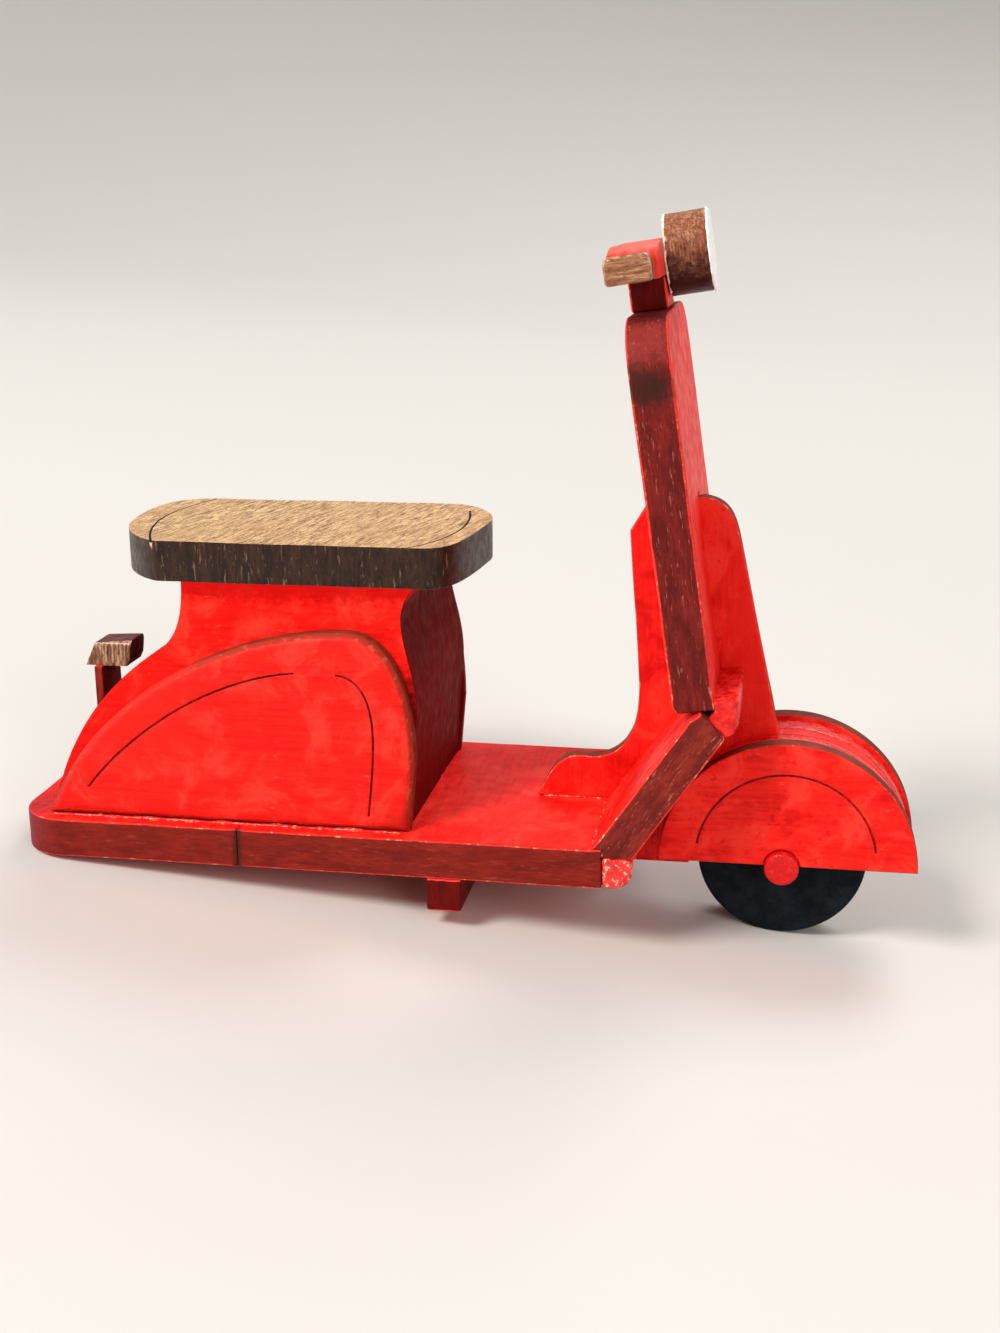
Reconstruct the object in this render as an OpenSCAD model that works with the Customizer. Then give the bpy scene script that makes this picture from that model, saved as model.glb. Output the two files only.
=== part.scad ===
// Small painted wooden scooter, glued up from sawn boards and thin plywood, with one turning front wheel.
// +X is forwards, +Y is the scooter's left and +Z is up. The deck is level.
// The origin is under the middle of the overall box, at the height of the wheel's lowest point.

/* [Stock] */
// Thickness of the boards: deck, body layers, seat and column
board_t = 6; // [5:0.5:7]
// Thickness of the thin plywood: cowls, centre plate and fender sides
ply_t = 3; // [2.5:0.5:3.5]
// Width of the engraved lines
groove_w = 0.35; // [0.3:0.05:0.6]
// Depth of the engraved lines
groove_deep = 0.4; // [0.3:0.05:0.6]

/* [Deck] */
// Length of the two deck boards together
deck_l = 90.8; // [88:0.2:93]
// Width of the deck
deck_w = 46.2; // [44:0.2:50]
// Radius of the deck's rear corners
deck_corner_r = 7.8; // [4:0.1:10]
// Distance of the seam between the deck boards from the rear edge
deck_seam = 36; // [30:1:45]
// Length of the rounded strip on the deck's front end
nose_l = 4.4; // [4:0.1:5]
// Depth of the strip's top below the deck's top
nose_drop = 1.3; // [0.5:0.1:2]
// Height of the centre stand below the deck
stand_h = 5.1; // [3:0.1:6]
// Length of the centre stand along the deck
stand_l = 5.2; // [4:0.2:8]
// Distance of the centre stand from the rear edge
stand_back = 64.9; // [55:0.1:75]

/* [Body] */
// Distance of the body's rear foot from the deck's rear edge
body_back = 5.1; // [4:0.1:6]
// Height of the body's core
core_h = 36.5; // [35:0.5:38]

/* [Seat] */
// Length of the seat
seat_l = 56.3; // [54:0.1:60]
// Width of the seat
seat_w = 36; // [34:0.5:42]
// Distance of the seat's rear end from the deck's rear edge
seat_back = 14; // [12:0.5:16]

/* [Legshield] */
// Angle by which the column leans back
column_lean = 8.4; // [6:0.2:10]
// Length of the column board
column_l = 55.4; // [50:0.2:60]
// Width of the column board
column_w = 39; // [36:0.5:42]
// Width of the sloping lower legshield at its top
brace_top_w = 41.2; // [40:0.2:44]
// Radius of the column board's shoulders
column_r = 7.5; // [4:0.5:9]
// Distance of the column's foot from the deck's rear edge, at its middle
column_back = 103.4; // [103:0.1:104]
// Height of the column's foot above the deck
column_foot_h = 20.2; // [20:0.1:20.5]

/* [Handlebar] */
// Height of the stem between the column and the handlebar
stem_l = 4.6; // [3:0.2:6]
// Width of the stem
stem_w = 10; // [8:0.5:14]
// Depth of the stem, front to back
stem_d = 5.4; // [4:0.1:5.4]
// Whole length of the handlebar with its grips
bar_l = 40; // [36:0.5:44]
// Depth of the handlebar, front to back
bar_d = 7.2; // [6.6:0.2:8]
// Height of the handlebar at its middle
bar_h = 5; // [4.5:0.1:6]
// Height of the grips
grip_h = 3.8; // [3.4:0.1:4.2]
// Depth of the grips, front to back
grip_d = 6.6; // [6:0.1:6.6]
// Length of each grip
grip_l = 6; // [4:0.5:8]
// Diameter of the headlight
lamp_d = 11.5; // [10:0.1:12]
// Length of the headlight's barrel
lamp_l = 6.1; // [5:0.1:7]
// Thickness of the headlight's face
lamp_face_t = 0.9; // [0.6:0.1:1.2]

/* [Front wheel] */
// Diameter of the wheel
wheel_d = 25.6; // [24:0.2:26]
// Width of the wheel
wheel_w = 9; // [7:0.5:9]
// Diameter of the axle dowel
axle_d = 5.2; // [4.8:0.1:6]
// Radial clearance between the dowel and the wheel's bore
axle_gap = 0.06; // [0.03:0.01:0.08]
// Distance of the axle from the deck's rear edge
axle_back = 116.5; // [115:0.5:118]
// Depth of the axle below the deck's top
axle_drop = 6.6; // [6:0.1:7]
// Length by which the dowel stands out of each fender side
axle_proud = 1.4; // [1:0.1:2]

/* [Fender] */
// Radius of the fender's half-round sides
fender_r = 19.3; // [18.5:0.1:20]
// Distance of the fender's centre in front of the axle
fender_shift = 0.7; // [0:0.1:1]
// Height by which the sides stand proud of the crown
crown_inset = 0.7; // [0.3:0.1:1]
// Thickness of each spacer between the centre plate and a side
spacer_t = 4.5; // [4:0.5:5]
// Gap between the wheel's tread and the arch above it
arch_gap = 1.8; // [1.2:0.1:2]

/* [Hidden] */
$fn = 96;

red = [0.90, 0.15, 0.11];
brown = [0.34, 0.22, 0.15];
cream = [0.93, 0.91, 0.85];
navy = [0.10, 0.14, 0.18];

wheel_r = wheel_d / 2;
axle_r = axle_d / 2;
overall_l = axle_back + fender_shift + fender_r;
rear_x = -overall_l / 2;
axle_x = rear_x + axle_back;
axle_z = wheel_r;
deck_top = axle_z + axle_drop;

core_layers = 6;
core_w = core_layers * board_t;
cowl_y = core_w / 2;
half_plate = ply_t / 2;
fender_y = half_plate + spacer_t;
crown_r = fender_r - crown_inset;
arch_r = wheel_r + arch_gap;
axle_l = 2 * (fender_y + ply_t + axle_proud);
front_u = deck_l + nose_l;

curve_steps = 20;
eps = 0.01;

// Body outlines, in millimetres forward of the body's rear foot and above the deck
core_back = [[-0.3, 0], [4, 14], [10, 20.4], [19.5, 26.6]];
core_neck_back = [[19.5, 26.6], [21.4, 28.4], [22.6, 31.5], [22.6, core_h]];
core_neck_front = [[57.7, core_h], [56.4, 35], [55.7, 33.6], [55.7, 31.6]];
core_front = [[55.7, 31.6], [55.7, 27], [58.6, 22], [57.5, 14]];
core_foot_front = [56.4, 0];
cowl_back = [[0, 0], [7, 18], [29, 30], [47.4, 30.2]];
cowl_front = [[47.4, 30.2], [52.5, 30.4], [57.8, 26], [57.8, 10]];
cowl_foot_front = [56.8, 0];
cowl_line_back = [[7, 4.7], [13.5, 13], [26, 22.5], [40.2, 24]];
cowl_line_front = [[46.4, 24], [53.5, 23.5], [51.9, 12], [50.8, 2.4]];

// Centre plate outline behind the legshield, in millimetres from the deck's rear edge and above the deck
plate_foot = [[78.3, 0], [81, 6.5], [83, 7.2], [86.4, 6.9]];
plate_bend = [[86.4, 6.9], [92, 6.6], [94.6, 12], [93.9, 20]];
plate_top_back = [92.3, 42.6];
plate_top = [94.5, 46.3];
plate_top_front = [[103.2, 48], [107, 47.6], [107.8, 45.2], [108.6, 42]];
plate_drop = 10;

// Lower legshield outline, same axes, standing over the strip's top and ending under the column's foot
function foot_plane(x) = [x, column_foot_h + (x - column_back) * tan(column_lean)];
brace_end = [107.9, 16.9];
brace_top = [105.5, 19.4];
brace_outline = [[89.3, 0], [deck_l, 0], [deck_l, -nose_drop], [deck_l + nose_l, -nose_drop], brace_end,
    brace_top, foot_plane(104.3), [102.8, 19.3]];

// Batten glued in front of the column's foot, same axes
column_half = board_t / 2 / cos(column_lean);
function column_front(z) = [column_back + column_half - (z - column_foot_h) * tan(column_lean), z];
block_low = column_foot_h + board_t / 2 * sin(column_lean);
block_outline = [column_front(22), [109.4, 22.2], [109.8, 21.8], [109.8, 18.8], [109, 17.3], brace_end,
    brace_top, column_front(block_low)];

// Seat ends, as millimetres in from the rear or front end and as a share of the half width to the left
seat_rear_right = [[10, -1], [7.2, -0.93], [1.4, -0.58], [0.4, -0.11]];
seat_rear_left = [[0.4, -0.11], [-0.6, 0.33], [-1.5, 1], [8, 1]];
seat_front_left = [[-8.3, 1], [-3.8, 0.97], [0.3, 0.5], [-0.1, 0.17]];
seat_front_right = [[-0.1, 0.17], [-0.9, -0.33], [-0.7, -1], [-6.3, -1]];

// Lines engraved near the seat's ends, same axes
seat_line_rear = [[9.6, -1.01], [4, -0.33], [2.5, 0.22], [7.5, 1.01]];
seat_line_front = [[-8.5, -1.01], [-2, -0.55], [-2.6, 0.11], [-5, 0.67]];

// Point of a cubic curve at t
function curve_point(c, t) =
    pow(1 - t, 3) * c[0] + 3 * pow(1 - t, 2) * t * c[1] + 3 * (1 - t) * t * t * c[2] + pow(t, 3) * c[3];

// All points of a cubic curve
function curve(c, n = curve_steps) = [for (i = [0:n]) curve_point(c, i / n)];

// Points of an arc about c from angle a to angle b
function arc(c, r, a, b, n = 40) =
    [for (i = [0:n]) let (t = a + (b - a) * i / n) c + r * [cos(t), sin(t)]];

// Unit normal of a path at point i
function path_normal(p, i) =
    let (a = p[max(i - 1, 0)], b = p[min(i + 1, len(p) - 1)], d = b - a) [-d[1], d[0]] / norm(d);

// Outline of a line of width w along a path
function ribbon(p, w) = concat(
    [for (i = [0:len(p) - 1]) p[i] + path_normal(p, i) * w / 2],
    [for (i = [len(p) - 1:-1:0]) p[i] - path_normal(p, i) * w / 2]);

// Places children with x measured from the deck's rear edge and z from the deck's top
module on_deck() translate([rear_x, 0, deck_top]) children();

// Places children at the body's rear foot
module on_body() on_deck() translate([body_back, 0, 0]) children();

// Places children in the leaning column's own axes, with z along the column
module on_column() on_deck() translate([column_back, 0, column_foot_h]) rotate([0, -column_lean, 0])
    children();

// Places children at the axle's middle
module at_axle() translate([axle_x, 0, axle_z]) children();

// Extrudes an outline in x and z across the scooter, from y upwards by t
module across(y, t) translate([0, y + t, 0]) rotate([90, 0, 0]) linear_extrude(t) children();

// Repeats children on the other side
module other_side() mirror([0, 1, 0]) children();

module deck_outline() {
    r = deck_corner_r;
    hull() {
        for (s = [-1, 1]) translate([r, s * (deck_w / 2 - r)]) circle(r);
        translate([deck_l - 1, -deck_w / 2]) square([1, deck_w]);
    }
}

module deck_part(from, to) {
    color(red) on_deck() translate([0, 0, -board_t]) linear_extrude(board_t) intersection() {
        deck_outline();
        translate([from, -deck_w]) square([to - from, 2 * deck_w]);
    }
}

module deck_rear() deck_part(0, deck_seam);

module deck_front() deck_part(deck_seam, deck_l);

// Half of the rounded strip on the deck's front end, on the scooter's right
module nose_right() {
    r = 2.6;
    color(red) on_deck() across(-deck_w / 2, deck_w / 2 - half_plate) difference() {
        translate([deck_l, -board_t]) square([nose_l, board_t - nose_drop]);
        translate([front_u - r, -board_t]) difference() {
            square([r + eps, r]);
            translate([0, r]) circle(r);
        }
    }
}

module centre_stand() {
    color(red) on_deck() translate([stand_back, -deck_w / 2, -board_t - stand_h])
        cube([stand_l, deck_w, stand_h]);
}

module core_outline() {
    polygon(concat(curve(core_back), curve(core_neck_back), curve(core_neck_front), curve(core_front),
        [core_foot_front]));
}

module core_layer(i) {
    color(red) on_body() across(-core_w / 2 + i * board_t, board_t) core_outline();
}

module cowl_outline() {
    polygon(concat(curve(cowl_back), curve(cowl_front), [cowl_foot_front]));
}

module cowl_left() {
    color(red) on_body() difference() {
        across(cowl_y, ply_t) cowl_outline();
        for (line = [cowl_line_back, cowl_line_front])
            across(cowl_y + ply_t - groove_deep, groove_deep + eps) polygon(ribbon(curve(line), groove_w));
    }
}

// A seat curve in millimetres, counted from the seat's rear end or from its front end
function seat_curve(c, from) = [for (p = curve(c)) [from + p[0], p[1] * seat_w / 2]];

module seat_outline() {
    polygon(concat(seat_curve(seat_rear_left, 0), seat_curve(seat_front_left, seat_l),
        seat_curve(seat_front_right, seat_l), seat_curve(seat_rear_right, 0)));
}

// The seat, with a curved line engraved near each end of its top
module seat() {
    lines = [seat_curve(seat_line_rear, 0), seat_curve(seat_line_front, seat_l)];
    color(brown) on_deck() translate([seat_back, 0, core_h]) difference() {
        linear_extrude(board_t) seat_outline();
        for (line = lines)
            translate([0, 0, board_t - groove_deep]) linear_extrude(groove_deep + eps)
                polygon(ribbon(line, groove_w));
    }
}

// Thin upright board standing on the body's rear slope
module tail_post() {
    color(red) on_body() across(-3.8, 7.6) difference() {
        translate([1.6, 2]) square([1.3, 16.75]);
        polygon(concat(curve(core_back), [[30, 0]]));
    }
}

// Block on the upright board, with its top's long edges rounded
module tail_cap() {
    half = 3;
    low = 18.75;
    high = 23;
    r = 1.2;
    color(brown) on_body() intersection() {
        across(-half, 2 * half) polygon([[-0.1, low], [6.9, low], [7.4, 19.8], [7.8, high], [1.7, 22.5]]);
        translate([-1, 0, 0]) rotate([90, 0, 90]) linear_extrude(10) hull() {
            translate([-half, low]) square([2 * half, 1]);
            for (s = [-1, 1]) translate([s * (half - r), high - r]) circle(r);
        }
    }
}

// Outline of the centre plate, which ends in the fender's crown with the wheel's arch cut into it
module plate_outline() {
    arch_end = 180 + asin((plate_drop - axle_drop) / arch_r);
    polygon(concat(curve(plate_foot), curve(plate_bend), [plate_top_back, plate_top], curve(plate_top_front),
        arc([axle_back + fender_shift, -axle_drop], crown_r, 96, 0),
        arc([axle_back, -axle_drop], arch_r, 0, arch_end),
        [[deck_l, -plate_drop], [deck_l, 0]]));
}

module centre_plate() {
    color(red) on_deck() across(-half_plate, ply_t) plate_outline();
}

// Half of the sloping lower legshield, as wide as the deck at its foot and narrower at its top
module brace_right() {
    side = brace_top_w / 2;
    low = -nose_drop - eps;
    high = column_foot_h + 1;
    color(red) on_deck() intersection() {
        across(-deck_w / 2, deck_w / 2 - half_plate) polygon(brace_outline);
        translate([deck_l - 10, 0, 0]) rotate([90, 0, 90]) linear_extrude(30)
            polygon([[0, low], [-deck_w / 2, low], [-deck_w / 2, 0], [-side, high], [0, high]]);
    }
}

// Batten that fills the corner in front of the column's foot, with its outer front edge rounded
module corner_block_right() {
    end_y = -column_w / 2;
    r = 1.6;
    front = block_outline[2][0];
    color(red) on_deck() difference() {
        across(end_y, -half_plate - end_y) polygon(block_outline);
        translate([front - r, end_y + r, 0]) difference() {
            translate([0, -r - eps, 0]) cube([r + eps, r + eps, 40]);
            cylinder(r = r, h = 40);
        }
    }
}

// The column board, slotted from below over the centre plate
module column_board() {
    slot_h = plate_top_front[0][1] - column_foot_h;
    foot_r = 1.2;
    color(red) difference() {
        on_column() difference() {
            across_column() column_face();
            translate([-board_t / 2 - eps, 0, -eps]) foot_round(foot_r);
        }
        on_deck() translate([column_back - 20, -half_plate, column_foot_h - 5])
            cube([40, ply_t, slot_h + 5.3]);
    }
}

// Face of the column board, in y and z
module column_face() {
    hull() {
        translate([-column_w / 2, 0]) square([column_w, column_l - column_r]);
        for (s = [-1, 1]) translate([s * (column_w / 2 - column_r), column_l - column_r]) circle(column_r);
    }
}

// Stands a face outline in y and z upright, with the board's thickness along x
module across_column() translate([-board_t / 2, 0, 0]) rotate([90, 0, 90]) linear_extrude(board_t) children();

// Waste taken off to round the board's lower rear edge
module foot_round(r) {
    translate([0, column_w, 0]) rotate([90, 0, 0]) linear_extrude(2 * column_w) difference() {
        square(r);
        translate([r, r]) circle(r);
    }
}

module stem() {
    color(red) on_column() translate([-board_t / 2, -stem_w / 2, column_l]) cube([stem_d, stem_w, stem_l]);
}

// Places children on the stem, at the middle of the handlebar's underside
module on_stem() on_column() translate([-0.9, 0, column_l + stem_l]) children();

module handlebar() {
    half = bar_l / 2 - grip_l;
    flat = 9;
    color(red) on_stem() translate([-bar_d / 2, 0, 0]) rotate([90, 0, 90]) linear_extrude(bar_d)
        polygon([[-half, 0], [half, 0], [half, grip_h + 0.3], [flat, bar_h], [-flat, bar_h],
            [-half, grip_h + 0.3]]);
}

// Grip block with its two upper edges rounded, on the scooter's left
module grip_left() {
    r = 1.2;
    color(brown) on_stem() translate([0, bar_l / 2, 0]) rotate([90, 0, 0]) linear_extrude(grip_l) hull() {
        translate([-bar_d / 2, 0]) square([grip_d, 1]);
        for (x = [r, grip_d - r]) translate([x - bar_d / 2, grip_h - r]) circle(r);
    }
}

// Places children on the handlebar's front face, with z along the lamp's axis
module on_bar_front() on_stem() translate([bar_d / 2, 0, bar_h / 2]) rotate([0, 90, 0]) children();

module headlight_body() {
    color(brown) on_bar_front() cylinder(d = lamp_d, h = lamp_l);
}

module headlight_face() {
    color(cream) on_bar_front() translate([0, 0, lamp_l]) cylinder(d1 = lamp_d + 0.3, d2 = lamp_d - 0.2,
        h = lamp_face_t);
}

// Half disc above the axle, less the half-round notch that sits on the dowel
module fender_half(r, notch_r) {
    difference() {
        intersection() {
            translate([fender_shift, 0]) circle(r);
            translate([-2 * r, 0]) square([4 * r, 2 * r]);
        }
        circle(notch_r);
    }
}

module fender_side_left() {
    line_r = 13.4;
    line_lift = 1.1;
    line = arc([0.5, line_lift], line_r, 8, 172);
    color(red) at_axle() difference() {
        across(fender_y, ply_t) fender_half(fender_r, axle_r);
        across(fender_y + ply_t - groove_deep, groove_deep + eps) polygon(ribbon(line, groove_w));
    }
}

module fender_spacer_left() {
    color(red) at_axle() across(half_plate, spacer_t) fender_half(crown_r, arch_r);
}

module front_wheel() {
    edge_r = 0.8;
    color(navy) at_axle() rotate([90, 0, 0]) rotate_extrude() difference() {
        translate([axle_r + axle_gap, -wheel_w / 2]) square([wheel_r - axle_r - axle_gap, wheel_w]);
        for (s = [-1, 1]) scale([1, s]) translate([wheel_r - edge_r, wheel_w / 2 - edge_r]) difference() {
            square(edge_r + eps);
            circle(edge_r);
        }
    }
}

module axle_dowel() {
    color(red) at_axle() rotate([90, 0, 0]) cylinder(r = axle_r, h = axle_l, center = true);
}

deck_rear();
deck_front();
nose_right();
other_side() nose_right();  // nose_left
centre_stand();
core_layer(0);  // core_layer_1
core_layer(1);  // core_layer_2
core_layer(2);  // core_layer_3
core_layer(3);  // core_layer_4
core_layer(4);  // core_layer_5
core_layer(5);  // core_layer_6
other_side() cowl_left();  // cowl_right
cowl_left();
seat();
tail_post();
tail_cap();
centre_plate();
brace_right();
other_side() brace_right();  // brace_left
column_board();
corner_block_right();
other_side() corner_block_right();  // corner_block_left
stem();
handlebar();
other_side() grip_left();  // grip_right
grip_left();
headlight_body();
headlight_face();
other_side() fender_side_left();  // fender_side_right
fender_side_left();
other_side() fender_spacer_left();  // fender_spacer_right
fender_spacer_left();
front_wheel();
axle_dowel();
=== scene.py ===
"""Looks of a small painted wooden scooter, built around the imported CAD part.

Lengths in the settings are millimetres. Everything placed in Blender is in metres, in the part's own frame:
+X forwards, +Y to the scooter's left, +Z up, with the deck level. The camera sees the right side.
"""
import math

import bmesh
import bpy
from mathutils import Matrix, Vector, noise


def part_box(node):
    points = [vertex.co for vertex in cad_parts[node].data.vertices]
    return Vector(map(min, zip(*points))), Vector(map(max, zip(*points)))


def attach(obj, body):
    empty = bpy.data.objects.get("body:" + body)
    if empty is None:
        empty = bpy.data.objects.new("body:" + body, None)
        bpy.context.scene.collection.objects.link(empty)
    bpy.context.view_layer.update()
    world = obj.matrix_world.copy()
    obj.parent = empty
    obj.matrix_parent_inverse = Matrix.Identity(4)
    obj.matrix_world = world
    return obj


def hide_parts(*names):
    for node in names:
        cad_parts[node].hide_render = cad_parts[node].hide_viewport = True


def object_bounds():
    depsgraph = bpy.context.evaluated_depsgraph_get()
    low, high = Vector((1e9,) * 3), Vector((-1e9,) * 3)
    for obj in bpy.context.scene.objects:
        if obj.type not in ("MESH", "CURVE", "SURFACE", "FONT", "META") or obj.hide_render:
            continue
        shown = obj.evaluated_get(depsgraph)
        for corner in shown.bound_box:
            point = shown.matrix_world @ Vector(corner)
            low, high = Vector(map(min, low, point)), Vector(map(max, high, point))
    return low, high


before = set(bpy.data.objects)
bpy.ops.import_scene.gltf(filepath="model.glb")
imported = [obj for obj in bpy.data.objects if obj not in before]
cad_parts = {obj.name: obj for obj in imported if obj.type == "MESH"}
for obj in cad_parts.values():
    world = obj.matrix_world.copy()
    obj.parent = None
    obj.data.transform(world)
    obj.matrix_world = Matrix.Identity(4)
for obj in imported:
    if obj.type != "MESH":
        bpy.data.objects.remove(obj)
cad_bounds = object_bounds()

MM = 0.001
# the column leans back from its foot, and the braces lean forwards
COLUMN_LEAN = math.radians(8.4)
BRACE_LEAN = math.radians(-35.0)


def box_mm(node):
    """Lowest and highest corner of a CAD node, in millimetres."""
    low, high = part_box(node)
    return low / MM, high / MM


def inside(node, x, y, z):
    """Point of a CAD node's box, in millimetres, from three shares of its length, width and height."""
    low, high = box_mm(node)
    return Vector([a + (b - a) * t for a, b, t in zip(low, high, (x, y, z))])


def outer_face(node):
    """The axis and the level of a side board's outer face, in millimetres."""
    low, high = box_mm(node)
    return "y", low.y if node.endswith("right") else high.y


# ---------------------------------------------------------------- shader graphs

class Graph:
    """A material's node tree, with short calls for the nodes that the wood and paint need."""

    def __init__(self, name):
        self.material = bpy.data.materials.new(name)
        self.material.use_nodes = True
        self.tree = self.material.node_tree
        self.tree.nodes.clear()
        output = self.new("ShaderNodeOutputMaterial")
        self.shader = self.new("ShaderNodeBsdfPrincipled")
        self.tree.links.new(self.shader.outputs["BSDF"], output.inputs["Surface"])

    def new(self, kind, **settings):
        node = self.tree.nodes.new(kind)
        for key, value in settings.items():
            setattr(node, key, value)
        return node

    def put(self, socket, value):
        """Links an output to the socket, or sets the socket to a plain value."""
        if isinstance(value, bpy.types.NodeSocket):
            self.tree.links.new(value, socket)
        else:
            socket.default_value = value

    def math(self, operation, a, b=0.0):
        node = self.new("ShaderNodeMath", operation=operation)
        self.put(node.inputs[0], a)
        self.put(node.inputs[1], b)
        return node.outputs[0]

    def times(self, *factors):
        total = factors[0]
        for factor in factors[1:]:
            total = self.math("MULTIPLY", total, factor)
        return total

    def plus(self, *terms):
        total = terms[0]
        for term in terms[1:]:
            total = self.math("ADD", total, term)
        return total

    def step(self, value, low, high, to_low=0.0, to_high=1.0):
        """Smooth step from to_low to to_high, as a value goes from low to high."""
        node = self.new("ShaderNodeMapRange", interpolation_type="SMOOTHSTEP")
        self.put(node.inputs["Value"], value)
        for name, x in (("From Min", low), ("From Max", high), ("To Min", to_low), ("To Max", to_high)):
            node.inputs[name].default_value = x
        return node.outputs["Result"]

    def mix(self, factor, a, b):
        """Colour a, going to colour b as the factor goes to 1."""
        node = self.new("ShaderNodeMix", data_type="RGBA", clamp_factor=True)
        self.put(node.inputs["Factor"], factor)
        for name, colour in (("A", a), ("B", b)):
            socket = [s for s in node.inputs if s.name == name and s.type == "RGBA"][0]
            self.put(socket, (*colour, 1.0) if isinstance(colour, tuple) else colour)
        return [s for s in node.outputs if s.type == "RGBA"][0]

    def vector(self, operation, a, b):
        """A vector with a second, plain one. Dot products and lengths come out as single values."""
        node = self.new("ShaderNodeVectorMath", operation=operation)
        self.put(node.inputs[0], a)
        self.put(node.inputs[1], tuple(b))
        return node.outputs["Value"] if operation in ("DOT_PRODUCT", "LENGTH") else node.outputs[0]

    def place(self):
        """Where the point is on the piece, in millimetres."""
        return self.vector("MULTIPLY", self.new("ShaderNodeTexCoord").outputs["Object"], (1 / MM,) * 3)

    def turned(self, place, about, angle):
        node = self.new("ShaderNodeVectorRotate", rotation_type=about + "_AXIS")
        self.put(node.inputs["Vector"], place)
        node.inputs["Angle"].default_value = angle
        return node.outputs[0]

    def facing(self, axis):
        """How far the surface faces along an axis, from -1 to 1."""
        return self.vector("DOT_PRODUCT", self.new("ShaderNodeTexCoord").outputs["Normal"], axis)

    def noise(self, place, scale, detail=3.0, rough=0.55, twist=0.0):
        node = self.new("ShaderNodeTexNoise")
        self.put(node.inputs["Vector"], place)
        for name, x in (("Scale", scale), ("Detail", detail), ("Roughness", rough), ("Distortion", twist)):
            node.inputs[name].default_value = x
        return node.outputs["Fac"]

    def patch(self, colour, place, centre, size, shade, amount):
        """Mixes a soft ragged patch of another shade into a colour. Centre and size are millimetres."""
        away = self.vector("SUBTRACT", place, centre)
        away = self.vector("DIVIDE", away, size)
        away = self.vector("LENGTH", away, (0, 0, 0))
        ragged = self.times(self.math("SUBTRACT", self.noise(place, 0.9, 4.0, 0.7), 0.5), 1.5)
        return self.mix(self.step(self.plus(away, ragged), 1.15, 0.35, 0.0, amount), colour, shade)

    def bump(self, height, depth):
        node = self.new("ShaderNodeBump")
        node.inputs["Strength"].default_value = 1.0
        node.inputs["Distance"].default_value = depth * MM
        self.put(node.inputs["Height"], height)
        return node.outputs["Normal"]

    def finish(self, colour, rough, normal, specular, coat=0.0, coat_rough=0.15):
        self.put(self.shader.inputs["Base Color"], (*colour, 1.0) if isinstance(colour, tuple) else colour)
        self.put(self.shader.inputs["Roughness"], rough)
        if normal is not None:
            self.put(self.shader.inputs["Normal"], normal)
        self.shader.inputs["Specular IOR Level"].default_value = specular
        self.shader.inputs["Coat Weight"].default_value = coat
        self.shader.inputs["Coat Roughness"].default_value = coat_rough
        return self.material


def leaning(axis, lean):
    """Direction of the "x", "y" or "z" axis of a board that leans back about Y."""
    return Matrix.Rotation(-lean, 3, "Y") @ Vector([float(axis == a) for a in "xyz"])


def along(axis, stretch):
    """Scales a place so that a pattern is longer along one axis."""
    return tuple(stretch if axis == a else 1.0 for a in "xyz")


# ---------------------------------------------------------------- paint and wood

RED = (0.84, 0.013, 0.008)
RED_DEEP = (0.56, 0.003, 0.003)
RED_THIN = (0.88, 0.040, 0.024)
RED_SHEEN = (0.93, 0.100, 0.070)
ARRIS_RED = (0.78, 0.038, 0.026)
# a pale arris shade, partly rubbed paint and partly painted glints
ARRIS_PALE = (0.95, 0.50, 0.28)
# dark red in the engraved lines, painted shade in the grooves
ENGRAVED = (0.20, 0.005, 0.004)

# shades of the sawn edges, from dark through middling to the pale flecks
DECK_CUT = ((0.130, 0.008, 0.006), (0.230, 0.015, 0.008), (0.38, 0.085, 0.050))
# the next shades are the deck's cut shades at about half their brightness: dark end grain, darkened further
# by painted shade for edges that lie in shadow
SHADED_CUT = ((0.070, 0.0010, 0.0005), (0.125, 0.002, 0.001), (0.22, 0.012, 0.006))
PLY_CUT = ((0.110, 0.012, 0.006), (0.210, 0.034, 0.015), (0.36, 0.10, 0.05))
BRACE_CUT = ((0.100, 0.008, 0.006), (0.220, 0.020, 0.013), (0.50, 0.16, 0.11))
# the column's pale shade is bright enough that its flecks act as painted glints
COLUMN_CUT = ((0.075, 0.006, 0.005), (0.180, 0.012, 0.009), (0.50, 0.17, 0.13))
POST_CUT = ((0.120, 0.006, 0.004), (0.300, 0.022, 0.016), (0.42, 0.07, 0.05))
BAR_CUT = ((0.450, 0.020, 0.015), (0.800, 0.045, 0.030), (0.90, 0.25, 0.20))

# shades of the stained wood, from dark through middling to pale
SEAT_TAN = ((0.15, 0.070, 0.030), (0.47, 0.270, 0.120), (0.72, 0.480, 0.240))
SEAT_DARK = ((0.009, 0.004, 0.003), (0.045, 0.018, 0.009), (0.26, 0.16, 0.10))
CAP_BROWN = ((0.06, 0.018, 0.009), (0.24, 0.100, 0.048), (0.55, 0.32, 0.19))
GRIP_BROWN = ((0.09, 0.018, 0.009), (0.25, 0.085, 0.036), (0.52, 0.30, 0.15))
LAMP_BROWN = ((0.12, 0.032, 0.014), (0.25, 0.080, 0.036), (0.50, 0.24, 0.12))


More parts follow.
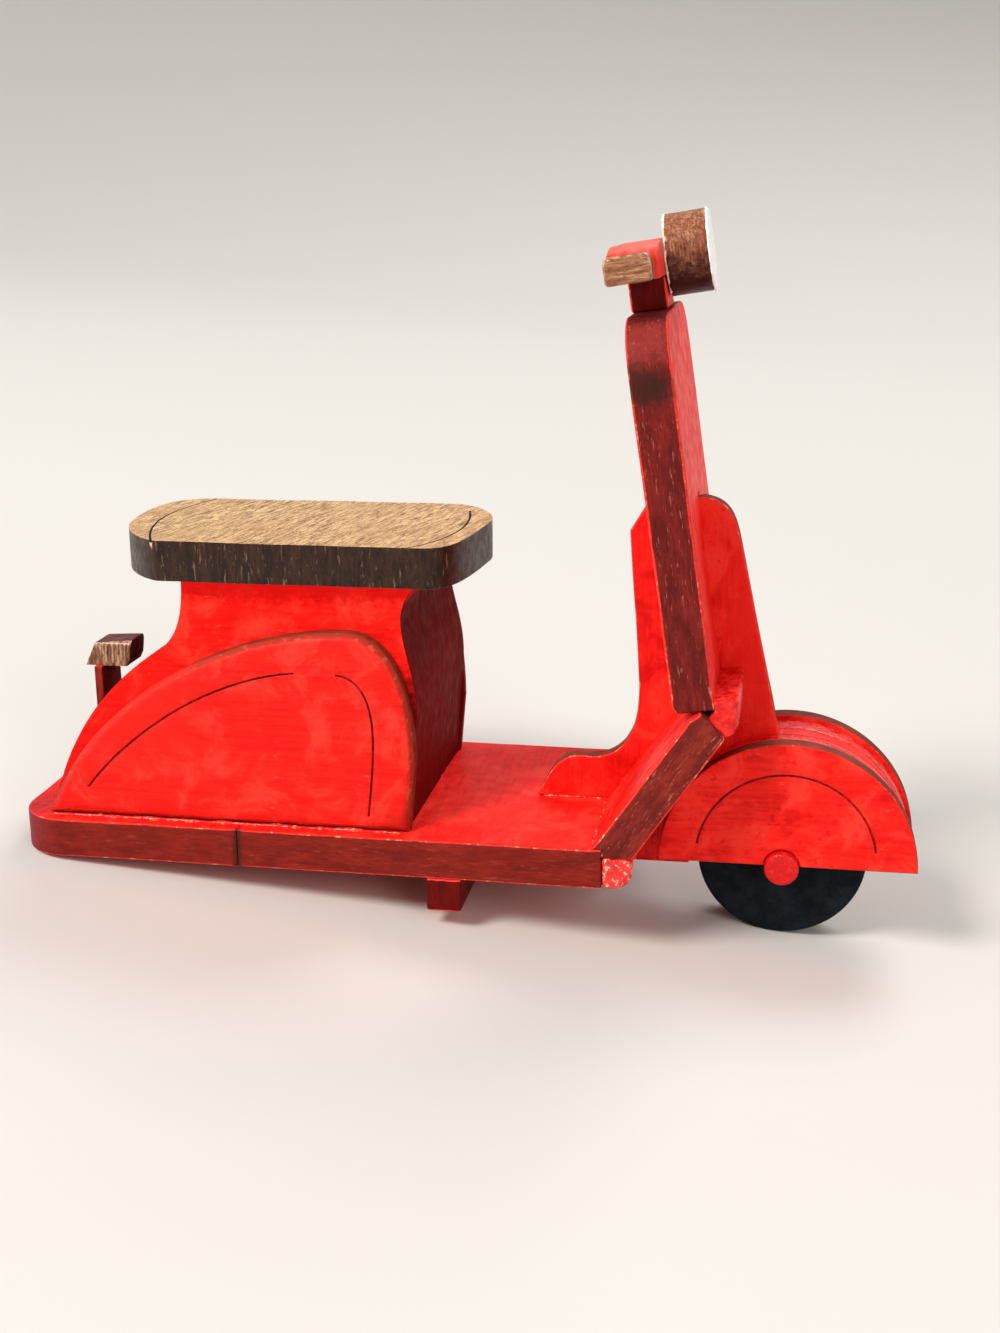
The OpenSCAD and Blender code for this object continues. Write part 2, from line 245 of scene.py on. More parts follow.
class Board:
    """What the materials of a board share: its own axes, its grain, and which way the surface faces.

    Face is the axis that the broad faces look along. Grain and sawn_grain are the axes of the strands on the
    faces and on the sawn edges. All of them are the board's own, before it leans.
    """

    def __init__(self, name, face, grain, lean, seed, sawn_grain):
        self.graph = g = Graph(name)
        self.where = g.place()
        own = g.turned(self.where, "Y", lean)
        self.own = g.vector("ADD", own, (seed, seed * 1.7, seed * 0.6))
        self.strands = g.vector("MULTIPLY", self.own, along(grain, 0.09))
        self.sawn_strands = g.vector("MULTIPLY", self.own, along(sawn_grain or grain, 0.14))
        self.sawn_drawn = g.vector("MULTIPLY", self.own, along(sawn_grain or grain, 0.3))
        self.square = g.math("ABSOLUTE", g.facing(leaning(face, lean)))
        self.fibre = g.noise(self.sawn_strands, 3.2, 4.0, 0.7)

    def sawn(self, shades, flecks=0.6):
        """Colour of a sawn edge: mottled stain, a fine grain and a few pale flecks, partly grain and partly
        painted glints.
        """
        g = self.graph
        dark, mid, pale = shades
        mottle = g.noise(self.sawn_drawn, 0.5, 4.0, 0.66)
        colour = g.mix(g.step(mottle, 0.28, 0.66), dark, mid)
        colour = g.mix(g.step(self.fibre, 0.54, 0.36, 0.0, 0.7), colour, dark)
        streak = g.step(g.noise(self.sawn_strands, 2.1, 3.0, 0.65), 0.60, 0.72)
        colour = g.mix(g.times(streak, flecks), colour, pale)
        # pale flecks, partly painted glints
        scratch_and_glint = g.step(g.noise(self.sawn_strands, 4.5, 2.0, 0.6), 0.66, 0.74)
        colour = g.mix(g.times(scratch_and_glint, flecks), colour, pale)
        specks = g.noise(self.sawn_drawn, 1.9, 2.0, 0.5)
        return g.mix(g.step(specks, 0.70, 0.78, 0.0, flecks * 0.7), colour, pale)


def brushed_red(board, grain, mottle):
    """Colour of a painted face with pale streaks of painted sheen, and the height of its brush marks."""
    g = board.graph
    brush = g.noise(board.strands, 1.5, 4.0, 0.62, 0.4)
    blotch = g.noise(board.own, 0.16, 4.0, 0.62, 0.6)
    red = g.mix(g.step(brush, 0.34, 0.60, 0.35, 1.0), RED_DEEP, RED)
    red = g.mix(g.step(blotch, 0.46, 0.66, 0.0, 0.8), red, RED_THIN)
    red = g.mix(g.step(blotch, 0.47, 0.33, 0.0, mottle), red, RED_DEEP)
    dabs = g.noise(board.own, 0.75, 3.0, 0.6, 0.3)
    red = g.mix(g.step(dabs, 0.60, 0.72, 0.0, mottle * 0.8), red, RED_DEEP)
    # painted sheen: pale streaks along the grain
    sheen_smears = g.noise(g.vector("MULTIPLY", board.own, along(grain, 0.4)), 0.9, 4.0, 0.7)
    return g.mix(g.step(sheen_smears, 0.64, 0.74, 0.0, 0.35), red, RED_SHEEN), brush


def red_board(name, face, grain, seed, cut=DECK_CUT, lean=0.0, mottle=0.5, wear_and_glints=0.5, flecks=0.35, patches=(),
              crown=None, sawn_grain=None, arris=ARRIS_RED, specular=0.10):
    """Red paint on a board: brushed red faces, dark stained sawn edges, and arrises between them, paler in
    spots from rubbed paint and from painted glints.

    Patches come from patch_on. A crown is (centre, radius): within it the edges are as red as the faces.
    """
    b = Board(name, face, grain, lean, seed, sawn_grain)
    g = b.graph
    red, brush = brushed_red(b, grain, mottle)
    ragged = g.times(g.math("SUBTRACT", g.noise(b.own, 1.0, 2.0), 0.5), 0.30)
    facing = g.plus(b.square, ragged)
    if crown:
        centre, radius = crown
        away = g.vector("LENGTH", g.vector("SUBTRACT", b.where, centre), (0, 0, 0))
        facing = g.plus(facing, g.step(away, radius + 0.4, radius, 0.0, 1.0))
    broad = g.step(facing, 0.74, 0.92)
    # paler spots on the arrises: partly rubbed paint, partly painted glints
    wear_and_glint_mask = g.step(g.noise(b.own, 0.8, 3.0, 0.6), 0.55, 0.66, 0.0, wear_and_glints)
    colour = g.mix(g.step(facing, 0.20, 0.48), b.sawn(cut, flecks), g.mix(wear_and_glint_mask, arris, ARRIS_PALE))
    colour = g.mix(broad, colour, red)
    for centre, size, shade, amount in patches:
        colour = g.patch(colour, b.where, centre, size, shade, amount)

    gloss = g.step(g.noise(b.own, 0.45, 3.0), 0.3, 0.7, 0.34, 0.55)
    rough = g.plus(gloss, g.times(g.math("SUBTRACT", 1.0, broad), 0.20))
    height = g.plus(g.times(brush, 0.5), g.times(b.fibre, 0.5), g.times(g.noise(b.own, 0.9, 3.0), 0.5))
    return g.finish(colour, rough, g.bump(height, 0.07), specular)


def glossy_red(name, seed, sheen, coat, lumps=0.25, pale=RED_SHEEN, depth=0.0):
    """Thick glossy red paint, with pale spots of painted sheen on it."""
    g = Graph(name)
    own = g.vector("ADD", g.place(), (seed, seed * 1.7, seed * 0.6))
    tone = g.noise(own, 0.55, 4.0, 0.62, 0.4)
    colour = g.mix(g.step(tone, 0.40 + depth, 0.58 + depth), RED_DEEP, RED)
    # painted sheen: pale spots, as many as the sheen amount gives
    colour = g.mix(g.step(g.noise(own, 1.1, 3.0, 0.6), 0.54, 0.66, 0.0, sheen), colour, pale)
    height = g.plus(g.noise(own, 0.8, 3.0), g.times(g.noise(own, 2.6, 2.0), 0.25))
    rough = g.step(tone, 0.3, 0.7, 0.22, 0.42)
    return g.finish(colour, rough, g.bump(height, lumps), specular=0.25, coat=coat, coat_rough=0.1)


def engraved(name):
    """Dark red on the walls and floor of an engraved line: painted shade in the groove."""
    g = Graph(name)
    place = g.place()
    lighter = tuple(2.2 * c for c in ENGRAVED)
    colour = g.mix(g.step(g.noise(place, 0.8, 3.0), 0.40, 0.62), ENGRAVED, lighter)
    return g.finish(colour, 0.6, g.bump(g.noise(place, 3.0, 3.0), 0.05), specular=0.2)


def stained(name, face, grain, shades, cut, coat, lean=0.0, twist=0.0, fine=1.0, contrast=1.0,
            sawn_grain=None, patches=(), everywhere=False):
    """Stained wood: flecked grain on the faces, darker sawn edges and a pale arris between them.

    Everywhere gives the edges the look of the faces.
    """
    b = Board(name, face, grain, lean, 0.0, sawn_grain)
    g = b.graph
    twisted = g.turned(b.own, "Z", twist)
    strands = g.vector("MULTIPLY", twisted, along(grain, 0.12))
    dark, mid, pale = shades
    figure = g.noise(strands, 1.5 * fine, 5.0, 0.68, 0.5)
    wood = g.mix(g.step(figure, 0.36, 0.50, 1.0 - contrast, 1.0), dark, mid)
    wood = g.mix(g.step(figure, 0.47, 0.62, 0.0, contrast), wood, pale)
    wood = g.mix(g.step(g.noise(b.own, 0.10, 2.0), 0.44, 0.66, 0.0, 0.45), wood, mid)
    pores = g.noise(g.vector("MULTIPLY", twisted, along(grain, 0.22)), 3.4 * fine, 2.0, 0.6)
    pores = g.step(pores, 0.58, 0.67)
    wood = g.mix(g.times(pores, 0.8 * contrast), wood, dark)
    colour = wood
    if not everywhere:
        arris = g.mix(g.step(g.noise(b.own, 1.0, 2.0), 0.40, 0.58), mid, pale)
        colour = g.mix(g.step(b.square, 0.22, 0.60), b.sawn(cut), arris)
        colour = g.mix(g.step(b.square, 0.70, 0.93), colour, wood)
    for centre, size, shade, amount in patches:
        colour = g.patch(colour, b.where, centre, size, shade, amount)
    height = g.plus(g.times(figure, 0.6), g.times(b.fibre, 0.6), g.times(pores, -0.8))
    rough = g.step(g.noise(b.own, 0.6, 2.0), 0.3, 0.7, 0.35, 0.55)
    return g.finish(colour, rough, g.bump(height, 0.09), specular=0.15, coat=coat, coat_rough=0.12)


def plain_paint(name, low, high, rough, relief, scale=0.55, specular=0.2):
    """Paint of two mottled tones, the same on faces and edges."""
    g = Graph(name)
    place = g.place()
    colour = g.mix(g.step(g.noise(place, scale, 4.0, 0.62), 0.38, 0.62), low, high)
    shine = g.step(g.noise(place, 0.9, 2.0), 0.3, 0.7, rough - 0.08, rough + 0.08)
    height = g.plus(g.noise(place, 2.4, 4.0), g.noise(place, 0.9, 2.0))
    return g.finish(colour, shine, g.bump(height, relief), specular)


def patch_on(node, share, size, shade, amount):
    """A patch for a board's paint, centred at shares of the node's box. Its size is in millimetres."""
    return inside(node, *share), size, shade, amount


# ---------------------------------------------------------------- shapes made from the CAD nodes

AXLE = inside("front_wheel", 0.5, 0.5, 0.5)

# vector noise starts from the clock unless it gets a seed
noise.seed_set(7)

# length and height of the slow and the quick waves in hand-cut wood
SLOW_WAVE = 13.0
SLOW_HEIGHT = 0.10
QUICK_WAVE = 2.6
QUICK_HEIGHT = 0.022
# round the axle the wood is true within the first distance, and the waves grow over the second
TRUE_RADIUS = 14.0
FADE_LENGTH = 10.0

SHARP_ANGLE = math.radians(35)
# how close to a flat face's level a corner counts as on it, and how deep an engraved line may be
ON_LEVEL = 0.05
DEEPEST_LINE = 0.45


def hand_cut(p):
    """How far the hand-cut wood strays at a point. The waves fade out near the wheel, which has to turn."""
    slow = noise.noise_vector(p / SLOW_WAVE) * SLOW_HEIGHT
    quick = noise.noise_vector(p / QUICK_WAVE + Vector((7.1, 3.3, 5.9))) * QUICK_HEIGHT
    share = ((p - AXLE).length - TRUE_RADIUS) / FADE_LENGTH
    return (slow + quick) * min(1.0, max(0.0, share))


def off_level(part, axis, level):
    """Least and greatest distance of an edge's or face's corners from a level along an axis."""
    away = [abs(v.co["xyz".index(axis)] - level) for v in part.verts]
    return min(away), max(away)


def is_engraved(face, axis, level):
    """True for the wall or floor of a line cut into the flat face that lies at that level along the axis."""
    return ON_LEVEL < off_level(face, axis, level)[1] < DEEPEST_LINE


def split_long_edges(bm, longest):
    """Triangles with no edge longer than that."""
    for _ in range(10):
        bmesh.ops.triangulate(bm, faces=[f for f in bm.faces if len(f.verts) > 3])
        edges = [e for e in bm.edges if e.calc_length() > longest]
        if not edges:
            break
        bmesh.ops.subdivide_edges(bm, edges=edges, cuts=1)
    bmesh.ops.triangulate(bm, faces=[f for f in bm.faces if len(f.verts) > 3])


def sharp_edges(bm):
    """Convex edges that a saw and sandpaper leave soft, apart from those of the engraved lines."""
    return [e for e in bm.edges if len(e.link_faces) == 2 and e.is_convex
            and e.calc_face_angle(0.0) > SHARP_ANGLE
            and not any(f.material_index for f in e.link_faces)]


def soften(bm, edges, offset):
    """Rounds edges off. Wide roundings get more segments."""
    if edges:
        segments = 4 if offset > 0.5 else 2
        bmesh.ops.bevel(bm, geom=edges, offset=offset, offset_type="OFFSET", segments=segments, profile=0.5,
                        affect="EDGES", clamp_overlap=True)


def cad_mesh(node):
    """A CAD node's mesh in millimetres, its flat faces whole again."""
    bm = bmesh.new()
    bm.from_mesh(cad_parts[node].data)
    bmesh.ops.scale(bm, vec=(1 / MM,) * 3, verts=bm.verts)
    bmesh.ops.remove_doubles(bm, verts=bm.verts, dist=0.002)
    bmesh.ops.dissolve_limit(bm, angle_limit=math.radians(0.4), verts=bm.verts, edges=bm.edges)
    bm.normal_update()
    return bm


def add_piece(name, bm, materials, body="frame", smooth_angle=50):
    """Makes an object from a mesh in millimetres, and lets it ride on a body."""
    bmesh.ops.scale(bm, vec=(MM,) * 3, verts=bm.verts)
    mesh = bpy.data.meshes.new(name)
    bm.to_mesh(mesh)
    bm.free()
    mesh.shade_smooth()
    mesh.set_sharp_from_angle(angle=math.radians(smooth_angle))
    piece = bpy.data.objects.new(name, mesh)
    bpy.context.scene.collection.objects.link(piece)
    for material in materials:
        mesh.materials.append(material)
    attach(piece, body)
    return piece


def made_from(node, material, arris=0.35, outer=None, round_by=0.0, longest=1.6, stray=1.0,
              body="frame", line=None):
    """The wooden piece of a CAD node: its shape, with softened arrises and hand-cut unevenness.

    Outer is the (axis, level) of a flat face whose own arris is rounded by round_by. The lines engraved in it
    get the material called line. No edge stays longer than longest.
    """
    bm = cad_mesh(node)
    for face in bm.faces:
        face.material_index = int(line is not None and is_engraved(face, *outer))
    edges = sharp_edges(bm)
    if outer and round_by:
        soften(bm, [e for e in edges if off_level(e, *outer)[1] < ON_LEVEL], round_by)
        bm.normal_update()
        edges = [e for e in sharp_edges(bm) if off_level(e, *outer)[0] > round_by + ON_LEVEL]
    soften(bm, edges, arris)
    split_long_edges(bm, longest)
    for v in bm.verts:
        v.co += hand_cut(v.co) * stray
    piece = add_piece(node + "_wood", bm, [material, line] if line else [material], body)
    weighted = piece.modifiers.new("flat_faces", "WEIGHTED_NORMAL")
    weighted.keep_sharp = True
    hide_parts(node)


def join_rings(bm, rings):
    """Faces between rings of the same number of corners."""
    for a, b in zip(rings, rings[1:]):
        for k in range(len(a)):
            j = (k + 1) % len(a)
            bm.faces.new((a[k], a[j], b[j], b[k]))


def circle(sides):
    """Angles of a ring's corners."""
    return [2 * math.pi * k / sides for k in range(sides)]


# ---------------------------------------------------------------- deck, body, seat and tail

def make_deck():
    # a purple tint at the deck's rear corner
    purple_corner = patch_on("deck_rear", (0.02, 0.1, 0.5), (7.0, 9.0, 5.0), (0.19, 0.018, 0.030), 0.7)
    dark_seam = patch_on("deck_rear", (1.0, 0.0, 0.5), (0.9, 1.5, 6.0), (0.06, 0.010, 0.008), 0.9)
    lengths = (("deck_rear", 3.0, [purple_corner, dark_seam]), ("deck_front", 4.0, [dark_seam]))
    for node, seed, patches in lengths:
        paint = red_board(node + "_paint", "z", "y", seed, mottle=0.35, wear_and_glints=0.6, patches=patches,
                          sawn_grain="x")
        made_from(node, paint, arris=0.3)
    for node, seed in (("nose_right", 20.0), ("nose_left", 21.0)):
        # the nose's near-white pale spots are painted highlights
        paint = glossy_red(node + "_paint", seed, sheen=0.9, coat=0.9, lumps=0.5, pale=(0.97, 0.48, 0.38))
        made_from(node, paint, arris=0.7, longest=0.7, stray=2.0)
    # the stand takes the darkened cut shades all over: painted shade under the deck
    made_from("centre_stand", red_board("stand_paint", "z", "z", 8.0, SHADED_CUT))


def make_core():
    """The body's six glued layers. Only the first and the last have a side that is seen and rounded."""
    outer = {1: ("y", box_mm("core_layer_1")[0].y), 6: ("y", box_mm("core_layer_6")[1].y)}
    for i in range(1, 7):
        node = f"core_layer_{i}"
        # painted shadow of the seat: the tops of the layers darker red under it
        seat_shadow = patch_on(node, (0.6, 0.5, 1.0), (60.0, 40.0, 3.4), (0.42, 0.002, 0.002), 0.8)
        # painted shade at the front of the layers, between the cowls' edges
        front = patch_on(node, (1.0, 0.5, 0.35), (2.6, 20.0, 16.0), SHADED_CUT[1], 0.9)
        paint = red_board(node + "_paint", "y", "x", 7.0 * i, SHADED_CUT, mottle=0.35, wear_and_glints=0.0,
                          patches=[seat_shadow, front], sawn_grain="z", arris=SHADED_CUT[1], specular=0.02)
        made_from(node, paint, arris=0.07, outer=outer.get(i), round_by=0.9, longest=2.0)


def make_cowls(line):
    for side, inner, seed in (("right", 1.0, 31.0), ("left", 0.0, 37.0)):
        node = "cowl_" + side
        foot = patch_on(node, (1.0, 0.5, 0.0), (8.0, 9.0, 5.0), (0.30, 0.012, 0.006), 0.6)
        # painted shade: the cowl's inner face at the front, darkened where it meets the body
        inner_front_shade = patch_on(node, (1.0, inner, 0.45), (6.0, 1.6, 24.0), SHADED_CUT[1], 1.0)
        # painted light: the rim of the rear slope as red as the face, where the window light falls
        lit_rear_slope = patch_on(node, (0.22, 0.5, 0.60), (16.0, 9.0, 13.0), RED, 0.75)
        paint = red_board(node + "_paint", "y", "x", seed, PLY_CUT, mottle=0.25, wear_and_glints=0.1,
                          patches=[foot, inner_front_shade, lit_rear_slope], arris=(0.36, 0.026, 0.012))
        made_from(node, paint, outer=outer_face(node), round_by=1.6, line=line)


def make_seat():
    wood = stained("seat_wood", "z", "y", SEAT_TAN, SEAT_DARK, coat=0.12, twist=math.radians(11), fine=1.6,
                   sawn_grain="z")
    line = stained("seat_line", "y", "x", SEAT_DARK, SEAT_DARK, coat=0.0)
    made_from("seat", wood, outer=("z", box_mm("seat")[1].z), line=line)


def make_tail():
    made_from("tail_post", red_board("post_paint", "z", "z", 41.0, POST_CUT), arris=0.2)
    # the cap's sawn edges take the darkened cut shades, painted shade included
    wood = stained("cap_wood", "y", "z", CAP_BROWN, SHADED_CUT, coat=0.2, fine=1.5)
    made_from("tail_cap", wood, arris=0.4, longest=0.7)


# ---------------------------------------------------------------- front board, column and handlebar

def make_plate():
    """The front board. Its edge over the wheel is as red as the fender's crown."""
    fender_centre = inside("fender_spacer_right", 0.5, 0.0, 0.0)
    fender_centre.y = 0.0
    crown_r = box_mm("fender_spacer_right")[1].z - fender_centre.z
    front_edge = patch_on("centre_plate", (0.57, 0.5, 0.69), (4.5, 9.0, 20.0), (0.78, 0.012, 0.007), 0.8)
    paint = red_board("plate_paint", "y", "z", 51.0, PLY_CUT, mottle=0.9, patches=[front_edge],
                      crown=(fender_centre, crown_r + 1.6))
    made_from("centre_plate", paint)


def make_braces():
    for side, seed in (("right", 53.0), ("left", 57.0)):
        node = "brace_" + side
        paint = red_board(node + "_paint", "x", "z", seed, BRACE_CUT, lean=BRACE_LEAN, wear_and_glints=0.8, flecks=0.5)
        made_from(node, paint)
        block = "corner_block_" + side
        made_from(block, glossy_red(block + "_paint", seed, sheen=0.4, coat=0.15), arris=0.6,
                  longest=0.8)


def make_column():
    # painted sheen: a paler pink at the top of the column's edge
    shoulder_sheen = patch_on("column_board", (0.1, 0.02, 0.95), (7.0, 6.0, 7.0), (0.38, 0.040, 0.032), 0.35)
    dark_blotch = patch_on("column_board", (0.24, 0.0, 0.83), (5.0, 5.0, 3.4), (0.030, 0.010, 0.007), 0.85)
    paint = red_board("column_paint", "x", "z", 61.0, COLUMN_CUT, lean=COLUMN_LEAN, wear_and_glints=0.35, flecks=0.5,
                      patches=[shoulder_sheen, dark_blotch])
    made_from("column_board", paint)
    # the stem takes the darkened cut shades: painted shadow of the handlebar and the headlight
    made_from("stem", red_board("stem_paint", "x", "z", 63.0, SHADED_CUT, lean=COLUMN_LEAN))


def make_handlebar():
    # painted sheen: a paler pink along the top of the bar
    sheen_top = patch_on("handlebar", (0.4, 0.5, 1.0), (9.0, 40.0, 2.6), (0.62, 0.16, 0.13), 0.75)
    paint = red_board("bar_paint", "y", "y", 65.0, BAR_CUT, lean=COLUMN_LEAN, wear_and_glints=0.2, patches=[sheen_top])
    made_from("handlebar", paint, arris=0.5, longest=0.8)
    for side in ("right", "left"):
        wood = stained("grip_wood_" + side, "y", "x", GRIP_BROWN, GRIP_BROWN, coat=0.7, lean=COLUMN_LEAN,
                       fine=1.3, contrast=0.7)
        made_from("grip_" + side, wood, arris=0.6, longest=0.6)


# ---------------------------------------------------------------- headlight

def lamp_end(towards):
    """Middle of the barrel's front end (1) or back end (-1), and the barrel's radius, in millimetres."""
    low, high = box_mm("headlight_body")
    radius = (high.y - low.y) / 2
    length = (high.x - low.x - 2 * radius * math.sin(COLUMN_LEAN)) / math.cos(COLUMN_LEAN)
    return (low + high) / 2 + leaning("x", COLUMN_LEAN) * length / 2 * towards, radius


def turned_shape(bm, centre, radius, profile, ragged, seed=0.0):
    """A shape turned about the headlight's axis, with a ragged outside.

    The profile is (share of the radius, millimetres forwards).
    """
    turn = Matrix.Rotation(-COLUMN_LEAN, 3, "Y")
    rings = []
    for share, depth in profile:
        ring = []
        for t in circle(96):
            spoke = Vector((0.0, math.cos(t), math.sin(t)))
            coarse = noise.noise(spoke * 4.5 + Vector((seed, share, 0)))
            fine = noise.noise(spoke * 13.0 + Vector((seed, 0, 0)))
            r = radius * share + (ragged * (coarse + 0.7 * fine) if share > 0.9 else 0.0)
            swell = 0.35 * ragged * noise.noise(spoke * share * 6.0 + Vector((seed + 5, 0, 0)))
            ring.append(bm.verts.new(centre + turn @ (spoke * r + Vector((depth + swell, 0, 0)))))
        rings.append(ring)
    join_rings(bm, rings)
    return rings


def make_lamp_barrel():
    # painted shade: darker red-brown at the barrel's front and near black underneath, away from the key light
    shaded_front = patch_on("headlight_body", (1.0, 0.3, 0.6), (3.0, 7.0, 7.0), (0.22, 0.030, 0.016), 0.6)
    shade_below = patch_on("headlight_body", (0.6, 0.2, 0.0), (9.0, 9.0, 8.5), (0.035, 0.002, 0.001), 1.0)
    wood = stained("lamp_wood", "z", "z", LAMP_BROWN, LAMP_BROWN, coat=0.15, lean=COLUMN_LEAN, fine=1.5,
                   contrast=0.6, patches=[shaded_front, shade_below], everywhere=True)
    made_from("headlight_body", wood, arris=0.25, longest=0.7)


def make_lamp_face():
    """The thick white paint on the headlight's front, in place of its thin CAD disc."""
    white = plain_paint("lamp_white", (0.90, 0.89, 0.85), (0.97, 0.965, 0.94), rough=0.45, relief=0.15)
    centre, radius = lamp_end(1)
    profile = [(0.02, 0.34), (0.35, 0.38), (0.65, 0.40), (0.86, 0.44), (0.98, 0.38), (1.025, 0.20),
               (1.015, 0.02), (0.95, -0.02), (0.02, -0.02)]
    bm = bmesh.new()
    rings = turned_shape(bm, centre, radius, profile, ragged=0.24)
    bm.faces.new(rings[0])
    bm.faces.new(list(reversed(rings[-1])))
    bmesh.ops.recalc_face_normals(bm, faces=bm.faces)
    face = add_piece("headlight_face_paint", bm, [white])
    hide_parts("headlight_face")


def make_lamp_rim():
    """Cream paint that ran round the headlight's back edge."""
    cream = plain_paint("lamp_cream", (0.62, 0.48, 0.30), (0.93, 0.88, 0.76), rough=0.5, relief=0.2,
                        scale=1.6)
    centre, radius = lamp_end(-1)
    profile = [(0.93, -0.02), (1.0, 0.0), (1.006, 0.15), (1.0, 0.35), (0.96, 0.32), (0.93, -0.02)]
    bm = bmesh.new()
    turned_shape(bm, centre, radius, profile, ragged=0.10, seed=9.0)
    bmesh.ops.remove_doubles(bm, verts=bm.verts, dist=0.001)
    bmesh.ops.recalc_face_normals(bm, faces=bm.faces)
    add_piece("headlight_rim_paint", bm, [cream])


# ---------------------------------------------------------------- fender and wheel

def make_fender(line):
    for side, seed in (("right", 71.0), ("left", 75.0)):
        node = "fender_side_" + side
        paint = red_board(node + "_paint", "y", "x", seed, PLY_CUT, mottle=1.0, wear_and_glints=0.2,
                          arris=(0.40, 0.030, 0.014))
        made_from(node, paint, outer=outer_face(node), round_by=0.9, line=line)
        spacer = "fender_spacer_" + side
        crown = glossy_red(spacer + "_paint", seed + 2, sheen=0.3, coat=0.05, lumps=0.15)
        made_from(spacer, crown)


def make_wheel():
    peg_paint = glossy_red("peg_paint", 81.0, sheen=0.15, coat=0.05, depth=0.15)
    made_from("axle_dowel", peg_paint, arris=0.45, longest=0.8)
    navy = plain_paint("navy", (0.003, 0.005, 0.008), (0.007, 0.010, 0.015), rough=0.75, relief=0.1,
                       specular=0.1)
    made_from("front_wheel", navy, longest=1.2, stray=0.0, body="wheel")


# ---------------------------------------------------------------- paint that has set in the corners

def bead(bm, start, end, radius, seed):
    """A lumpy closed bead of paint between two points."""
    steps = max(1, int((end - start).length / 0.45))
    line = [start.lerp(end, i / steps) for i in range(steps + 1)]
    forward = (end - start).normalized()
    side = forward.orthogonal().normalized()
    up = forward.cross(side)
    rings = []
    for i, p in enumerate(line):
        swell = 0.70 + 0.9 * noise.noise(p * 0.35 + Vector((seed, 0, 0))) + 0.3 * noise.noise(p * 1.3)
        taper = min(1.0, 0.25 + min(i, steps - i) * 0.35)
        r = max(0.12, radius * swell * taper)
        rings.append([bm.verts.new(p + (side * math.cos(t) + up * math.sin(t)) * r) for t in circle(8)])
    join_rings(bm, rings)
    bm.faces.new(list(reversed(rings[0])))
    bm.faces.new(rings[-1])


def paint_bead(name, start, end, radius, material, seed):
    """Paint set along a joint, on both sides of the scooter."""
    bm = bmesh.new()
    bead(bm, Vector(start), Vector(end), radius, seed)
    bead(bm, Vector((start[0], -start[1], start[2])), Vector((end[0], -end[1], end[2])), radius, seed + 3.7)
    bmesh.ops.recalc_face_normals(bm, faces=bm.faces)
    add_piece(name, bm, [material], smooth_angle=80)


def make_beads():
    """Beads along the foot of the cowls, of the front board, of the braces and of the body's front."""
    # the beads' orange pale spots are painted glints
    paint = glossy_red("pooled_paint", 5.0, sheen=0.8, coat=0.25, pale=(0.95, 0.30, 0.12))
    deck = box_mm("deck_front")[1].z
    cowl_z = deck + 0.05
    cowl_low, cowl_high = box_mm("cowl_right")
    cowl_y = cowl_low.y - 0.05
    plate_low = box_mm("centre_plate")[0]
    brace_low = box_mm("brace_right")[0]
    brace_x = brace_low.x + 0.1
    core_low = inside("core_layer_1", 1.0, 0.0, 0.0)
    core_x = core_low.x - 1.6
    joints = (
        ("cowl_foot_paint", (cowl_low.x + 1.0, cowl_y, cowl_z), (cowl_high.x - 2.0, cowl_y, cowl_z), 0.44),
        ("plate_foot_paint", (plate_low.x + 0.8, plate_low.y, deck), (brace_low.x, plate_low.y, deck), 0.30),
        ("shield_foot_paint", (brace_x, plate_low.y - 0.5, deck), (brace_x, brace_low.y + 1.2, deck), 0.32),
        ("body_foot_paint", (core_x, core_low.y + 0.6, deck), (core_x, -0.8, deck), 0.30))
    for seed, (name, start, end, radius) in enumerate(joints, 1):
        paint_bead(name, start, end, radius, paint, seed)


# ---------------------------------------------------------------- stage, light and camera

def make_stage():
    """A pale floor that curves up all round.

    It touches the wheel and the deck's rear lower edge, which the toy stands on.
    """
    low, high = box_mm("front_wheel")
    edge = box_mm("deck_rear")[0]
    radius = (high.z - low.z) / 2
    reach = Vector((AXLE.x - edge.x, AXLE.z - edge.z))
    slope = math.asin(radius / reach.length) - math.atan2(reach.y, reach.x)
    flat_m = 1.0
    bend_m = 1.6
    steps = 16
    profile = [(flat_m, 0.0)]
    for i in range(1, steps + 1):
        t = math.radians(80) * i / steps
        profile.append((flat_m + bend_m * math.sin(t), bend_m * (1 - math.cos(t))))
    bm = bmesh.new()
    rings = [[bm.verts.new((r * math.cos(t), r * math.sin(t), z)) for t in circle(96)] for r, z in profile]
    bm.faces.new(rings[0])
    join_rings(bm, rings)
    bmesh.ops.recalc_face_normals(bm, faces=bm.faces)
    mesh = bpy.data.meshes.new("floor")
    bm.to_mesh(mesh)
    bm.free()
    mesh.shade_smooth()
    mesh.materials.append(Graph("floor_pale").finish((0.60, 0.585, 0.56), 0.9, None, specular=0.1))
    floor = bpy.data.objects.new("floor", mesh)
    bpy.context.scene.collection.objects.link(floor)
    floor.rotation_euler = (0.0, slope, 0.0)
    floor.location = edge * MM


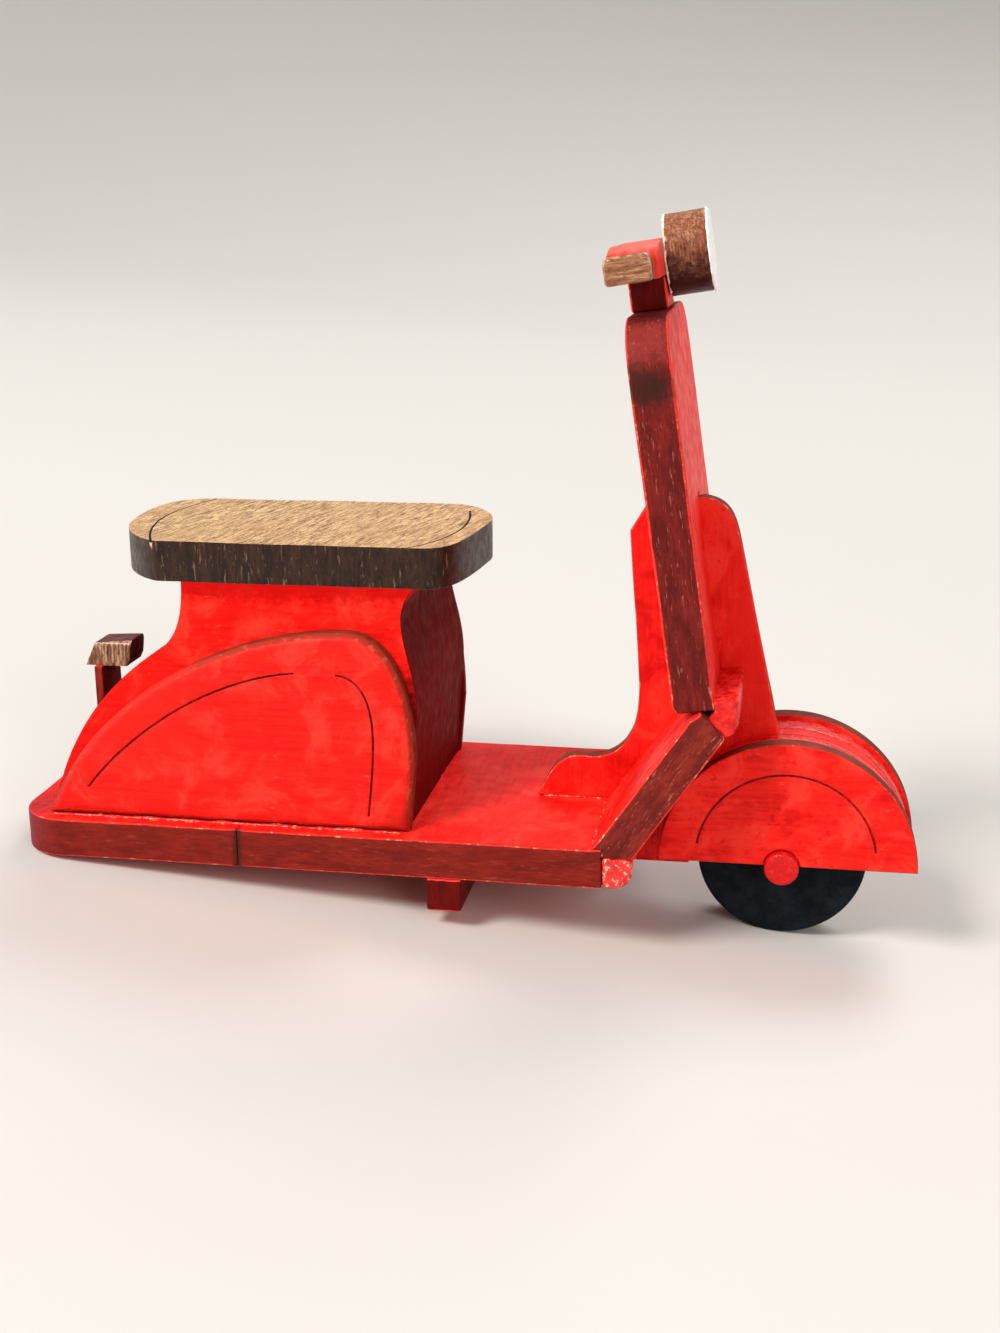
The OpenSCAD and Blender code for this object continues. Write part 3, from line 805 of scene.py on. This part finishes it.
def area_light(name, place, size, watts, colour):
    """A round soft light that looks at the scooter's middle. Its place is in metres from there."""
    low, high = cad_bounds
    target = (Vector(low) + Vector(high)) / 2
    data = bpy.data.lights.new(name, "AREA")
    data.shape = "DISK"
    data.size = size
    data.energy = watts
    data.color = colour
    light = bpy.data.objects.new(name, data)
    light.location = target + Vector(place)
    light.rotation_euler = (-Vector(place)).to_track_quat("-Z", "Y").to_euler()
    bpy.context.scene.collection.objects.link(light)


def make_light():
    area_light("key", (-0.70, -0.95, 1.15), 0.55, 29.0, (1.0, 0.96, 0.91))
    area_light("fill", (0.90, -1.00, 0.55), 0.90, 7.0, (1.0, 0.97, 0.94))
    area_light("window", (-1.40, 0.05, 0.20), 0.70, 10.0, (0.78, 0.88, 1.0))
    area_light("back", (0.45, 1.10, 1.20), 0.90, 17.0, (1.0, 0.98, 0.96))
    world = bpy.data.worlds.new("studio")
    bpy.context.scene.world = world
    world.use_nodes = True
    background = world.node_tree.nodes["Background"]
    background.inputs["Color"].default_value = (1.0, 0.98, 0.96, 1.0)
    background.inputs["Strength"].default_value = 0.36
    bpy.context.scene.view_settings.view_transform = "Standard"


def make_camera():
    """The photograph's viewpoint: a quarter of a metre from the right side, and a little above it."""
    height_px = 1333
    focal_px = 1658
    place = Vector((47.3, -244.6, 109.6)) * MM
    yaw = 0.1756
    pitch = -0.2741
    roll = 0.0077
    data = bpy.data.cameras.new("camera")
    data.sensor_fit = "VERTICAL"
    data.sensor_height = 36.0
    data.lens = focal_px * data.sensor_height / height_px
    data.clip_start = 0.01
    camera = bpy.data.objects.new("camera", data)
    # before it is turned the camera looks along +Y, with +X to its right and +Z up
    level = Matrix(((1, 0, 0), (0, 0, -1), (0, 1, 0)))
    turn = Matrix.Rotation(yaw, 3, "Z") @ Matrix.Rotation(pitch, 3, "X") @ Matrix.Rotation(roll, 3, "Y")
    camera.matrix_world = Matrix.Translation(place) @ (turn @ level).to_4x4()
    bpy.context.scene.collection.objects.link(camera)
    bpy.context.scene.camera = camera


make_camera()
engraving = engraved("engraved_paint")
make_deck()
make_core()
make_cowls(engraving)
make_seat()
make_tail()
make_plate()
make_braces()
make_column()
make_handlebar()
make_lamp_barrel()
make_lamp_face()
make_lamp_rim()
make_fender(engraving)
make_wheel()
make_beads()
make_stage()
make_light()
